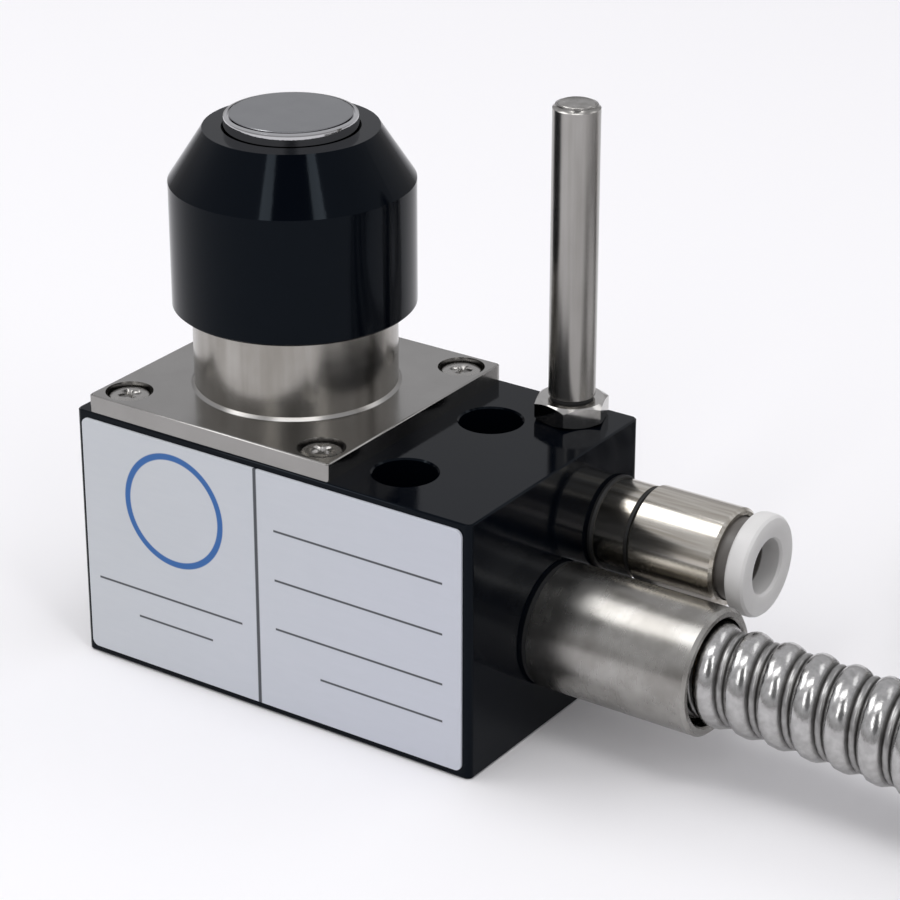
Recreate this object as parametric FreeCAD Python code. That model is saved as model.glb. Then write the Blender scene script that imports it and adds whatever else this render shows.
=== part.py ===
import FreeCAD, Part
import math
import os

# Tool setter with a sprung contact pad, an air-blow pipe and an armoured lead.
# Millimetres. The origin lies under the contact pad's axis on the underside,
# +Z is up, the label faces -Y and both connections leave towards +X.

# Housing block
block_left = 24.5
block_right = 46.5
block_width = 44.5
block_height = 40.5
block_corner = 1.0
block_edge = 0.4

# Cavity for the switch, its cover and the cover's screws
cavity_left = 13.5
cavity_right = 15.5
cavity_width = 26.0
cavity_roof = 4.0
cavity_corner = 3.0
cover_margin = 6.5
cover_thick = 2.5
cover_clearance = 0.1
cover_screw_inset = 3.2
cover_screw_diameter = 2.5
cover_screw_head = 4.7
cover_screw_length = 8.0

# Fixing holes for two cap screws
fixing_end_inset = 17.5
fixing_front_y = -13.0
fixing_spacing = 22.0
fixing_hole = 5.5
fixing_counterbore = 9.5
fixing_counterbore_depth = 5.5
fixing_lead_in = 0.25

# Label plate on the front face
label_left = 0.6
label_right = 1.3
label_bottom = 1.0
label_top = 1.0
label_thick = 0.4
label_corner = 1.5

# Flange with its neck
flange_side = 44.0
flange_thick = 2.8
flange_corner = 1.0
flange_edge = 0.35
neck_diameter = 30.0
neck_foot_radius = 0.5
spigot_diameter = 24.0
spigot_length = 2.0
spigot_clearance = 0.1
seal_section = 1.5
seal_diameter = 29.0
seal_clearance = 0.1

# Flange screws
flange_screw_pitch = 35.5
flange_counterbore = 7.15
flange_counterbore_depth = 1.9
flange_screw_head = 5.9
flange_screw_head_height = 1.2
flange_screw_diameter = 3.0
flange_screw_length = 9.0
cross_length = 3.3
cross_width = 0.75
cross_depth = 0.8
thread_clearance = 0.02

# Moving head
stroke = 5.0
guard_gap = 12.8
guard_diameter = 36.4
guard_top_diameter = 26.0
guard_skirt = 19.2
guard_cone = 8.0
guard_roof = 7.0
guard_edge = 0.3
guard_clearance = 0.4
guard_over_travel = 0.8
pad_diameter = 19.8
pad_proud = 2.0
pad_chamfer = 0.65
pad_recess = 1.5
pad_clearance = 0.3

# Plunger shaft and its guide
shaft_diameter = 10.0
shaft_running = 0.05
shaft_below_flange = 12.8
shaft_collar = 14.0
shaft_collar_thick = 2.0
stud_diameter = 6.0
stud_clearance = 0.05
stud_above_recess = 2.2
bush_diameter = 14.0
bush_head = 20.0
bush_head_thick = 1.2
bush_length = 15.0
bush_seat_above_flange = 14.7
pocket_diameter = 21.0
shaft_way = 11.0
stop_ring_outer = 15.0
stop_ring_groove = 9.4
stop_ring_thick = 1.2
stop_ring_gap = 0.1
stop_ring_mouth = 5.0

# Return spring
spring_mean = 17.0
spring_wire = 1.4
spring_turns = 5.5

# Wiper in the guard's lip
wiper_lift = 1.6
wiper_height = 2.2
wiper_depth = 0.9
wiper_clearance = 0.1

# Switch under the shaft
switch_diameter = 12.0
switch_top_below_shaft = 6.0
switch_length = 14.5
switch_collar = 15.0
switch_collar_thick = 1.1
switch_nut_width = 14.0
switch_nut_thick = 2.5
switch_top_above_nut = 0.5
pin_diameter = 3.0
pin_running = 0.06
pin_length = 13.0
pin_gap = 0.05
boss_diameter = 7.0
boss_reach = 8.0
bracket_width = 16.0
bracket_thick = 2.0
bracket_reach = 8.0
bracket_height = 12.0
bracket_screw_pitch = 10.0
bracket_screw_drop = 4.0
bracket_screw_diameter = 2.5
bracket_screw_head = 4.5
bracket_screw_head_height = 1.5
bracket_screw_length = 7.0

# Air-blow pipe and its locking nut
pipe_end_inset = 8.5
pipe_rear_inset = 5.25
pipe_diameter = 6.8
pipe_above_block = 47.7
pipe_top_chamfer = 0.9
pipe_thread = 6.0
pipe_thread_depth = 8.0
pipe_neck_diameter = 5.4
pipe_neck_height = 0.7
pipe_bore = 3.5
nozzle_diameter = 1.8
nozzle_below_top = 2.4
pipe_end_wall = 1.3
nut_width = 10.0
nut_height = 3.2
nut_turn = -10.0
nut_clearance = 0.05

# Push-in air fitting
fitting_rear_inset = 6.75
fitting_below_top = 14.5
fitting_thread = 9.7
fitting_thread_depth = 8.0
fitting_collar = 14.0
fitting_collar_length = 6.0
fitting_gap = 0.5
fitting_diameter = 14.9
fitting_length = 21.0
fitting_chamfer = 0.7
fitting_rim = 0.45
fitting_bore = 11.5
fitting_mouth = 12.8
fitting_mouth_depth = 3.2
fitting_spigot = 4.0
fitting_wall_clearance = 0.05
air_bore = 6.0
air_way = 4.0
tube_seal_length = 2.5
tube_seal_gap = 0.3
collet_length = 1.4
collet_bore = 8.3
collet_slots = 6
collet_slot_width = 0.8

# Release ring of the fitting
ring_travel = 1.2
ring_flange = 14.4
ring_flange_thick = 2.4
ring_reach = 26.0
ring_stem = 12.4
ring_inner_stem = 11.34
ring_bore = 8.4
ring_bore_chamfer = 0.6
ring_edge = 0.6

# Cable sleeve
sleeve_y = 0.3
sleeve_below_top = 24.8
sleeve_diameter = 19.0
sleeve_length = 27.0
sleeve_edge = 0.5
sleeve_spigot = 14.0
sleeve_spigot_length = 8.0
sleeve_mouth = 16.0
sleeve_mouth_depth = 10.0
sleeve_seal_thick = 0.8
cable_way = 9.0
lead_diameter = 5.0
lead_clearance = 0.2
ferrule_length = 3.0
ferrule_clearance = 0.05

# Armoured conduit: straight out, down to the surface and into a coil of two and a half turns
conduit_diameter = 15.0
conduit_lift = 0.1
conduit_slack = 0.45
conduit_exit_run = 19.5
conduit_route = [
    (113.5, 14.3),
    (141.0, 7.6),
    (163.0, 7.6),
]
coil_radius = 91.5
coil_half_turns = 5
coil_tail = 20.0
climb_share = 0.6

# Connector on the conduit's far end
end_ferrule_diameter = 18.0
end_ferrule_length = 18.0
end_ferrule_grip = 8.0
end_ferrule_step = 0.6
plug_diameter = 16.0
plug_length = 22.0
plug_shoulder = 14.6
plug_shoulder_length = 8.0
plug_wall = 1.5
plug_socket_depth = 8.0
plug_thread_relief = 1.5
plug_thread_step = 0.5
plug_insert_thick = 3.0
plug_pin_diameter = 1.6
plug_pin_length = 6.0
plug_pin_circle = 6.5
plug_pins_count = 4
plug_clearance = 0.05

# Levels and places that follow from the sizes above
flange_top = block_height + flange_thick
guard_bottom = flange_top + guard_gap
skirt_top = guard_bottom + guard_skirt
guard_top = skirt_top + guard_cone
guard_ceiling = guard_top - guard_roof
recess_floor = guard_top - pad_recess
pad_top = guard_top + pad_proud
neck_top = guard_ceiling - stroke - guard_over_travel
bush_seat = flange_top + bush_seat_above_flange
spring_bottom = bush_seat + bush_head_thick
spigot_bottom = block_height - spigot_length
shaft_bottom = flange_top - shaft_below_flange
stop_ring_top = spigot_bottom - stop_ring_gap
cavity_top = block_height - cavity_roof
switch_top = shaft_bottom - switch_top_below_shaft
switch_nut_bottom = switch_top - switch_top_above_nut - switch_nut_thick
bracket_bottom = switch_nut_bottom - bracket_thick
guard_bore = neck_diameter + 2 * guard_clearance
half_width = block_width / 2
fixing_x = block_right - fixing_end_inset
fixing_rear_y = fixing_front_y + fixing_spacing
pipe_x = block_right - pipe_end_inset
pipe_y = half_width - pipe_rear_inset
fitting_y = half_width - fitting_rear_inset
fitting_z = block_height - fitting_below_top
sleeve_z = block_height - sleeve_below_top
sleeve_start = block_right + sleeve_seal_thick
sleeve_end = block_right + sleeve_length
conduit_start = sleeve_end - sleeve_mouth_depth + ferrule_length
conduit_radius = conduit_diameter / 2
coil_x = conduit_route[-1][0]
floor_axis = conduit_route[-1][1]
coil_radii = [coil_radius - i * conduit_radius for i in range(coil_half_turns)]
tail_y = sleeve_y + 2 * sum(radius * (-1) ** i for i, radius in enumerate(coil_radii))
tail_z = conduit_lift + conduit_diameter + end_ferrule_diameter / 2
tail_end = coil_x - coil_tail

X_AXIS = FreeCAD.Vector(1, 0, 0)
Y_AXIS = FreeCAD.Vector(0, 1, 0)
Z_AXIS = FreeCAD.Vector(0, 0, 1)
CUT_PAST = 1.0
SPRING_SIDES = 8
SPRING_STEPS = 24


def vec(x, y, z):
    return FreeCAD.Vector(x, y, z)


def turned(profile):
    """A solid of revolution about Z from its (radius, height) outline."""
    points = [vec(r, 0, z) for r, z in profile]
    face = Part.Face(Part.makePolygon(points + points[:1]))
    return face.revolve(vec(0, 0, 0), Z_AXIS, 360)


def turned_along_x(profile, y, z):
    """A solid of revolution about a line along X from its (radius, x) outline."""
    shape = turned(profile)
    shape.rotate(vec(0, 0, 0), Y_AXIS, 90)
    shape.translate(vec(0, y, z))
    return shape


def post(diameter, bottom, top, x=0.0, y=0.0):
    """A plain cylinder standing between two heights."""
    return Part.makeCylinder(diameter / 2, top - bottom, vec(x, y, bottom), Z_AXIS)


def rod(diameter, start, end, y, z):
    """A plain cylinder lying along X."""
    return Part.makeCylinder(diameter / 2, end - start, vec(start, y, z), X_AXIS)


def slab(x_range, y_range, z_range):
    """A rectangular block between three pairs of limits."""
    size = [pair[1] - pair[0] for pair in (x_range, y_range, z_range)]
    return Part.makeBox(*size, vec(x_range[0], y_range[0], z_range[0]))


def upright_edges(shape):
    """The straight edges of a shape that stand along Z."""
    found = []
    for edge in shape.Edges:
        a, b = edge.Vertexes[0].Point, edge.Vertexes[-1].Point
        if math.hypot(a.x - b.x, a.y - b.y) < 0.001 and abs(a.z - b.z) > 0.001:
            found.append(edge)
    return found


def rounded_slab(x_range, y_range, z_range, corner):
    """A block with its four upright edges rounded."""
    shape = slab(x_range, y_range, z_range)
    return shape.makeFillet(corner, upright_edges(shape))


def edges_at_height(shape, z):
    """All edges of a shape that lie wholly at one height."""
    return [e for e in shape.Edges if abs(e.BoundBox.ZMin - z) < 0.001 and abs(e.BoundBox.ZMax - z) < 0.001]


def hexagon(width, bottom, top, x=0.0, y=0.0, turn=0.0):
    """A hexagonal prism of a given width across its flats."""
    radius = width / math.sqrt(3)
    points = []
    for i in range(6):
        angle = math.radians(turn + 60 * i)
        points.append(vec(x + radius * math.cos(angle), y + radius * math.sin(angle), bottom))
    face = Part.Face(Part.makePolygon(points + points[:1]))
    return face.extrude(vec(0, 0, top - bottom))


def hex_nut(width, bore, bottom, top, x=0.0, y=0.0, turn=0.0):
    """A hexagon nut with its corners turned off on both faces."""
    corner = width / math.sqrt(3)
    flat = width / 2 * 0.96
    drop = (corner - flat) * math.tan(math.radians(30))
    envelope = turned(
        [
            (0, bottom),
            (flat, bottom),
            (corner + 0.01, bottom + drop),
            (corner + 0.01, top - drop),
            (flat, top),
            (0, top),
        ]
    )
    envelope.translate(vec(x, y, 0))
    body = hexagon(width, bottom, top, x, y, turn).common(envelope)
    return body.cut(post(bore, bottom - CUT_PAST, top + CUT_PAST, x, y))


def screw(diameter, head, head_height, length, x, y, seat):
    """A pan-headed screw standing on its seat, its shank pointing down."""
    edge = head_height * 0.35
    profile = [
        (0, seat - length),
        (diameter / 2 - 0.3, seat - length),
        (diameter / 2, seat - length + 0.3),
        (diameter / 2, seat),
        (head / 2, seat),
        (head / 2, seat + head_height - edge),
        (head / 2 - edge, seat + head_height),
        (0, seat + head_height),
    ]
    shape = turned(profile)
    shape.translate(vec(x, y, 0))
    return shape


def cross_recess(x, y, top):
    """The cross-shaped recess cut into a screw's head."""
    half = cross_length / 2
    thin = cross_width / 2
    depth = (top - cross_depth, top + CUT_PAST)
    along = slab((x - half, x + half), (y - thin, y + thin), depth)
    across = slab((x - thin, x + thin), (y - half, y + half), depth)
    return along.fuse(across)


def flange_screw_places():
    half = flange_screw_pitch / 2
    return [(sx * half, sy * half) for sx in (-1, 1) for sy in (-1, 1)]


def cover_limits(grow):
    """The cover's plan, as its X and Y limits, grown by a clearance."""
    left = -cavity_left - cover_margin - grow
    right = cavity_right + cover_margin + grow
    side = cavity_width / 2 + cover_margin / 2 + 1.0 + grow
    return (left, right), (-side, side)


def cover_screw_places():
    (left, right), (front, rear) = cover_limits(0)
    xs = (left + cover_screw_inset, right - cover_screw_inset)
    ys = (front + cover_screw_inset, rear - cover_screw_inset)
    return [(x, y) for x in xs for y in ys]


def bracket_screw_places():
    half = bracket_screw_pitch / 2
    z = bracket_bottom + bracket_thick + bracket_height - bracket_screw_drop
    return [(-half, z), (half, z)]


def fixing_hole_cut(y):
    """One stepped hole for a cap screw, with its mouth broken."""
    hole = post(fixing_hole, -CUT_PAST, block_height + CUT_PAST, fixing_x, y)
    floor = block_height - fixing_counterbore_depth
    mouth = fixing_counterbore / 2
    profile = [
        (0, floor),
        (mouth, floor),
        (mouth, block_height - fixing_lead_in),
        (mouth + fixing_lead_in, block_height),
        (mouth + fixing_lead_in, block_height + CUT_PAST),
        (0, block_height + CUT_PAST),
    ]
    step = turned(profile)
    step.translate(vec(fixing_x, y, 0))
    return hole.fuse(step)


def air_passage():
    """The bores that lead air from the fitting up to the pipe."""
    socket = rod(
        fitting_thread + 2 * thread_clearance,
        block_right - fitting_thread_depth,
        block_right + CUT_PAST,
        fitting_y,
        fitting_z,
    )
    level_end = block_right - fitting_thread_depth + CUT_PAST
    level = rod(air_way, pipe_x - air_way / 2, level_end, fitting_y, fitting_z)
    rise = post(air_way, fitting_z, block_height, pipe_x, pipe_y)
    seat = post(
        pipe_thread + 2 * thread_clearance,
        block_height - pipe_thread_depth,
        block_height + CUT_PAST,
        pipe_x,
        pipe_y,
    )
    return socket.fuse([level, rise, seat])


def cable_passage():
    """The stepped bore from the cavity out to the cable sleeve."""
    way = rod(cable_way, 0, block_right, sleeve_y, sleeve_z)
    way = way.cut(slab((-1, cavity_right - 1), (-10, 11), (0, block_height)))
    socket = rod(
        sleeve_spigot + 2 * thread_clearance,
        block_right - sleeve_spigot_length,
        block_right + CUT_PAST,
        sleeve_y,
        sleeve_z,
    )
    return way.fuse(socket)


def make_housing():
    """The block: bored from above, pocketed from below and drilled for air and cable."""
    body = slab((-block_left, block_right), (-half_width, half_width), (0, block_height))
    body = body.makeFillet(block_corner, upright_edges(body))
    rims = edges_at_height(body, 0) + edges_at_height(body, block_height)
    body = body.makeChamfer(block_edge, rims)

    cavity = rounded_slab(
        (-cavity_left, cavity_right),
        (-cavity_width / 2, cavity_width / 2),
        (-CUT_PAST, cavity_top),
        cavity_corner,
    )
    cover_x, cover_y = cover_limits(cover_clearance)
    rebate = rounded_slab(cover_x, cover_y, (-CUT_PAST, cover_thick), cavity_corner)
    throat = post(spigot_diameter + 2 * spigot_clearance, cavity_top - CUT_PAST, block_height + CUT_PAST)
    cuts = [cavity, rebate, throat, seal_groove(), air_passage(), cable_passage()]
    cuts += [fixing_hole_cut(y) for y in (fixing_front_y, fixing_rear_y)]

    hole = flange_screw_diameter + 2 * thread_clearance
    depth = flange_top - flange_counterbore_depth - flange_screw_length
    cuts += [post(hole, depth, block_height + CUT_PAST, x, y) for x, y in flange_screw_places()]
    hole = cover_screw_diameter + 2 * thread_clearance
    cuts += [post(hole, 0, cover_screw_length, x, y) for x, y in cover_screw_places()]
    wall = cavity_width / 2
    reach = bracket_screw_length - bracket_thick
    hole = bracket_screw_diameter / 2 + thread_clearance
    for x, z in bracket_screw_places():
        cuts.append(Part.makeCylinder(hole, reach + CUT_PAST, vec(x, wall - CUT_PAST, z), Y_AXIS))
    return body.cut(cuts)


def seal_ring(grow, bottom, top):
    """A ring of square section on the seal's circle, grown on both sides by a clearance."""
    outer = seal_diameter + seal_section + 2 * grow
    inner = seal_diameter - seal_section - 2 * grow
    return post(outer, bottom, top).cut(post(inner, bottom - CUT_PAST, top + CUT_PAST))


def seal_groove():
    """The square groove in the block's top that holds the flange seal."""
    return seal_ring(seal_clearance, block_height - seal_section, block_height + CUT_PAST)


def make_flange_seal():
    """A square-cut rubber ring in the groove under the flange."""
    return seal_ring(0, block_height - seal_section, block_height)


def make_base_cover():
    """The flush plate that closes the cavity, countersunk for its screws."""
    cover_x, cover_y = cover_limits(0)
    plate = rounded_slab(cover_x, cover_y, (0, cover_thick), cavity_corner)
    plate = plate.makeChamfer(block_edge / 2, edges_at_height(plate, 0))
    cuts = []
    for x, y in cover_screw_places():
        cut = countersunk_profile(thread_clearance, cover_thick + CUT_PAST)
        shape = turned(cut)
        shape.translate(vec(x, y, 0))
        cuts.append(shape)
    return plate.cut(cuts)


def countersunk_profile(grow, top):
    """The outline of a countersunk screw seen from below, its head at z = 0."""
    shank = cover_screw_diameter / 2 + grow
    head = cover_screw_head / 2 + grow
    return [(0, 0), (head, 0), (shank, head - shank), (shank, top), (0, top)]


def make_cover_screws():
    """Four countersunk screws, flush with the underside."""
    screws = []
    for x, y in cover_screw_places():
        shape = turned(countersunk_profile(0, cover_screw_length))
        shape.translate(vec(x, y, 0))
        slot = slab(
            (x - cross_length / 2, x + cross_length / 2),
            (y - cross_width / 2, y + cross_width / 2),
            (-CUT_PAST, cross_depth),
        )
        screws.append(shape.cut(slot))
    return Part.makeCompound(screws)


def make_label_plate():
    """The thin plate bonded to the front face."""
    x_range = (-block_left + label_left, block_right - label_right)
    z_range = (label_bottom, block_height - label_top)
    flat = slab(x_range, (-half_width - label_thick, -half_width), z_range)
    edges = [e for e in flat.Edges if e.BoundBox.YLength > label_thick / 2]
    return flat.makeFillet(label_corner, edges)


def make_flange_neck():
    """The square flange and round neck, turned and milled from one bar."""
    half = flange_side / 2
    plate = rounded_slab((-half, half), (-half, half), (block_height, flange_top), flange_corner)
    plate = plate.makeChamfer(flange_edge, edges_at_height(plate, flange_top))
    neck = neck_diameter / 2
    foot = neck + neck_foot_radius
    lead = 0.6
    barrel = turned(
        [
            (0, spigot_bottom),
            (spigot_diameter / 2, spigot_bottom),
            (spigot_diameter / 2, block_height + 0.5),
            (foot, block_height + 0.5),
            (foot, flange_top),
            (neck, flange_top + neck_foot_radius),
            (neck, neck_top - lead),
            (neck - lead, neck_top),
            (0, neck_top),
        ]
    )
    bush_hole = bush_diameter / 2 + thread_clearance
    bush_bottom = bush_seat - bush_length
    bore = turned(
        [
            (0, spigot_bottom - CUT_PAST),
            (shaft_way / 2, spigot_bottom - CUT_PAST),
            (shaft_way / 2, bush_bottom),
            (bush_hole, bush_bottom),
            (bush_hole, bush_seat),
            (pocket_diameter / 2, bush_seat),
            (pocket_diameter / 2, neck_top + CUT_PAST),
            (0, neck_top + CUT_PAST),
        ]
    )
    body = plate.fuse(barrel).cut(bore)
    floor = flange_top - flange_counterbore_depth
    for x, y in flange_screw_places():
        body = body.cut(post(flange_counterbore, floor, flange_top + CUT_PAST, x, y))
        body = body.cut(post(flange_screw_diameter + 0.4, block_height - CUT_PAST, flange_top, x, y))
    return body.removeSplitter()


def make_flange_screws():
    """Four cross-recessed screws sunk in the flange."""
    seat = flange_top - flange_counterbore_depth
    screws = []
    for x, y in flange_screw_places():
        shape = screw(
            flange_screw_diameter,
            flange_screw_head,
            flange_screw_head_height,
            flange_screw_length,
            x,
            y,
            seat,
        )
        screws.append(shape.cut(cross_recess(x, y, seat + flange_screw_head_height)))
    return Part.makeCompound(screws)


def make_guide_bush():
    """The headed bronze bush that guides the shaft."""
    bore = shaft_diameter / 2 + shaft_running
    return turned(
        [
            (bore, bush_seat - bush_length),
            (bush_diameter / 2, bush_seat - bush_length),
            (bush_diameter / 2, bush_seat),
            (bush_head / 2, bush_seat),
            (bush_head / 2, spring_bottom),
            (bore, spring_bottom),
        ]
    )


def make_return_spring():
    """The coil spring between the bush and the guard's ceiling, lofted through wire sections."""
    half = spring_wire / 2 * math.cos(math.pi / SPRING_SIDES)
    height = guard_ceiling - spring_bottom - 2 * half
    steps = round(spring_turns * SPRING_STEPS)
    slope = math.atan2(height, math.pi * spring_mean * spring_turns)
    sections = []
    for i in range(steps + 1):
        angle = 2 * math.pi * i / SPRING_STEPS
        radial = vec(math.cos(angle), math.sin(angle), 0)
        along = vec(-math.sin(angle), math.cos(angle), 0)
        upright = Z_AXIS * math.cos(slope) - along * math.sin(slope)
        centre = radial * (spring_mean / 2) + Z_AXIS * (spring_bottom + half + height * i / steps)
        points = []
        for k in range(SPRING_SIDES):
            turn = 2 * math.pi * (k + 0.5) / SPRING_SIDES
            offset = radial * math.cos(turn) + upright * math.sin(turn)
            points.append(centre + offset * (spring_wire / 2))
        sections.append(Part.makePolygon(points + points[:1]))
    return Part.makeLoft(sections, True, True)


def make_plunger_shaft():
    """The ground shaft with its collar, stud and ring groove."""
    shaft = shaft_diameter / 2
    groove = stop_ring_groove / 2
    collar_bottom = guard_ceiling - shaft_collar_thick
    nose = 1.5
    return turned(
        [
            (0, shaft_bottom),
            (shaft - nose, shaft_bottom),
            (shaft, shaft_bottom + nose),
            (shaft, stop_ring_top - stop_ring_thick),
            (groove, stop_ring_top - stop_ring_thick),
            (groove, stop_ring_top),
            (shaft, stop_ring_top),
            (shaft, collar_bottom),
            (shaft_collar / 2, collar_bottom),
            (shaft_collar / 2, guard_ceiling),
            (stud_diameter / 2, guard_ceiling),
            (stud_diameter / 2, recess_floor + stud_above_recess),
            (0, recess_floor + stud_above_recess),
        ]
    )


def make_stop_ring():
    """The open retaining ring that keeps the shaft from lifting out."""
    bottom = stop_ring_top - stop_ring_thick
    ring = post(stop_ring_outer, bottom, stop_ring_top)
    ring = ring.cut(post(stop_ring_groove, bottom - 1, stop_ring_top + 1))
    mouth = slab(
        (-stop_ring_mouth / 2, stop_ring_mouth / 2),
        (-stop_ring_outer, 0),
        (bottom - 1, stop_ring_top + 1),
    )
    return ring.cut(mouth)


def make_chip_guard():
    """The black cap: skirt, cone, pad recess and the bore that covers the neck."""
    skirt = guard_diameter / 2
    crown = guard_top_diameter / 2
    bore = guard_bore / 2
    groove = bore + wiper_depth
    lip = guard_bottom + wiper_lift
    recess = pad_diameter / 2 + pad_clearance
    stud = stud_diameter / 2 + stud_clearance
    return turned(
        [
            (bore, guard_bottom),
            (skirt - guard_edge, guard_bottom),
            (skirt, guard_bottom + guard_edge),
            (skirt, skirt_top),
            (crown, guard_top),
            (recess, guard_top),
            (recess, recess_floor),
            (stud, recess_floor),
            (stud, guard_ceiling),
            (bore - 1.2, guard_ceiling),
            (bore, guard_ceiling - 1.2),
            (bore, lip + wiper_height),
            (groove, lip + wiper_height),
            (groove, lip),
            (bore, lip),
        ]
    )


def make_guard_wiper():
    """The rubber wiper ring in the guard's lip, one edge close to the neck."""
    outer = guard_bore / 2 + wiper_depth
    inner = neck_diameter / 2 + wiper_clearance
    bottom = guard_bottom + wiper_lift
    return turned(
        [
            (inner, bottom),
            (inner + 0.25, bottom),
            (outer, bottom),
            (outer, bottom + wiper_height),
            (inner + 0.25, bottom + wiper_height),
            (inner + 0.25, bottom + 0.7),
            (inner, bottom + 0.4),
        ]
    )


def make_contact_pad():
    """The hard contact disc, polished flat with a bright broken rim."""
    radius = pad_diameter / 2
    stud = stud_diameter / 2 + stud_clearance
    hole_top = recess_floor + stud_above_recess + 0.1
    return turned(
        [
            (stud, recess_floor),
            (radius, recess_floor),
            (radius, pad_top - pad_chamfer),
            (radius - pad_chamfer, pad_top),
            (0, pad_top),
            (0, hole_top),
            (stud, hole_top),
        ]
    )


def make_switch_body():
    """The threaded switch barrel with its collar and side outlet."""
    bottom = switch_top - switch_length
    bore = pin_diameter / 2 + pin_running
    barrel = switch_diameter / 2
    floor = shaft_bottom - pin_gap - pin_length - stroke - 0.3
    body = turned(
        [
            (0, bottom),
            (barrel - 0.5, bottom),
            (barrel, bottom + 0.5),
            (barrel, bracket_bottom - switch_collar_thick),
            (switch_collar / 2, bracket_bottom - switch_collar_thick),
            (switch_collar / 2, bracket_bottom),
            (barrel, bracket_bottom),
            (barrel, switch_top),
            (bore, switch_top),
            (bore, floor),
            (0, floor),
        ]
    )
    outlet = rod(boss_diameter, barrel - 2.0, boss_reach, sleeve_y, sleeve_z)
    return body.fuse(outlet).removeSplitter()


def make_switch_pin():
    """The sprung pin that follows the end of the shaft."""
    top = shaft_bottom - pin_gap
    radius = pin_diameter / 2
    return turned(
        [
            (0, top - pin_length),
            (radius, top - pin_length),
            (radius, top - 0.4),
            (radius - 0.4, top),
            (0, top),
        ]
    )


def make_switch_nut():
    """The thin nut that clamps the switch to its bracket."""
    bore = switch_diameter + 2 * thread_clearance
    return hex_nut(switch_nut_width, bore, switch_nut_bottom, switch_nut_bottom + switch_nut_thick)


def make_switch_bracket():
    """The bent bracket screwed to the rear wall of the cavity."""
    half = bracket_width / 2
    wall = cavity_width / 2
    shelf_top = bracket_bottom + bracket_thick
    shelf = slab((-half, half), (-bracket_reach, wall), (bracket_bottom, shelf_top))
    back = slab((-half, half), (wall - bracket_thick, wall), (bracket_bottom, shelf_top + bracket_height))
    body = shelf.fuse(back).removeSplitter()
    body = body.cut(post(switch_diameter + 2 * thread_clearance, bracket_bottom - 1, shelf_top + 1))
    radius = bracket_screw_diameter / 2 + thread_clearance
    for x, z in bracket_screw_places():
        start = vec(x, wall - bracket_thick - 1, z)
        body = body.cut(Part.makeCylinder(radius, bracket_thick + 2, start, Y_AXIS))
    return body


def make_bracket_screws():
    """Two small screws through the bracket into the block."""
    screws = []
    for x, z in bracket_screw_places():
        shape = screw(
            bracket_screw_diameter,
            bracket_screw_head,
            bracket_screw_head_height,
            bracket_screw_length,
            0,
            0,
            0,
        )
        shape.rotate(vec(0, 0, 0), X_AXIS, 90)
        shape.translate(vec(x, cavity_width / 2 - bracket_thick, z))
        screws.append(shape)
    return Part.makeCompound(screws)


def make_signal_lead():
    """The switch's lead, straight through the sleeve to the conduit."""
    return rod(lead_diameter, boss_reach, conduit_start, sleeve_y, sleeve_z)


def make_air_pipe():
    """The blow pipe: threaded foot, relief, plain barrel and a side nozzle."""
    barrel = pipe_diameter / 2
    thread = pipe_thread / 2
    neck = pipe_neck_diameter / 2
    bottom = block_height - pipe_thread_depth
    nut_top = block_height + nut_height
    top = block_height + pipe_above_block
    bore = pipe_bore / 2
    bore_top = top - pipe_end_wall
    body = turned(
        [
            (bore, bottom),
            (thread, bottom),
            (thread, nut_top),
            (neck, nut_top),
            (neck, nut_top + pipe_neck_height),
            (barrel - 0.3, nut_top + pipe_neck_height),
            (barrel, nut_top + pipe_neck_height + 0.3),
            (barrel, top - pipe_top_chamfer),
            (barrel - 0.6 * pipe_top_chamfer, top - 0.3 * pipe_top_chamfer),
            (barrel - 1.6 * pipe_top_chamfer, top),
            (0, top),
            (0, bore_top),
            (bore, bore_top),
        ]
    )
    body.translate(vec(pipe_x, pipe_y, 0))
    aim = vec(-pipe_x, -pipe_y, 0)
    start = vec(pipe_x, pipe_y, top - nozzle_below_top)
    return body.cut(Part.makeCylinder(nozzle_diameter / 2, pipe_diameter, start, aim))


def make_pipe_nut():
    """The locking nut on the pipe's thread."""
    bore = pipe_thread + 2 * nut_clearance
    return hex_nut(nut_width, bore, block_height, block_height + nut_height, pipe_x, pipe_y, nut_turn)


def make_fitting_base():
    """The fitting's threaded stem, collar and inner spigot."""
    face = block_right
    collar = fitting_collar / 2
    body_seat = face + fitting_collar_length
    spigot = fitting_bore / 2 - fitting_wall_clearance
    bore = air_bore / 2
    return turned_along_x(
        [
            (bore, face - fitting_thread_depth),
            (fitting_thread / 2, face - fitting_thread_depth),
            (fitting_thread / 2, face),
            (collar, face),
            (collar, body_seat),
            (spigot, body_seat),
            (spigot, body_seat + fitting_spigot),
            (bore, body_seat + fitting_spigot),
        ],
        fitting_y,
        fitting_z,
    )


def make_fitting_oring():
    """The black ring that shows as a thin line round the fitting."""
    start = block_right + fitting_collar_length
    return turned_along_x(
        [
            (fitting_bore / 2, start),
            (fitting_collar / 2 - 0.15, start),
            (fitting_collar / 2 - 0.15, start + fitting_gap),
            (fitting_bore / 2, start + fitting_gap),
        ],
        fitting_y,
        fitting_z,
    )


def make_fitting_body():
    """The plated shell that holds the seal, the collet and the release ring."""
    start = block_right + fitting_collar_length + fitting_gap
    end = block_right + fitting_length
    outer = fitting_diameter / 2
    step = end - fitting_mouth_depth
    return turned_along_x(
        [
            (fitting_bore / 2, start),
            (outer - fitting_chamfer, start),
            (outer, start + fitting_chamfer),
            (outer, end - fitting_rim),
            (outer - fitting_rim, end),
            (fitting_mouth / 2, end),
            (fitting_mouth / 2, step),
            (fitting_bore / 2, step),
        ],
        fitting_y,
        fitting_z,
    )


def seal_start():
    return block_right + fitting_collar_length + fitting_spigot + tube_seal_gap


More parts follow.
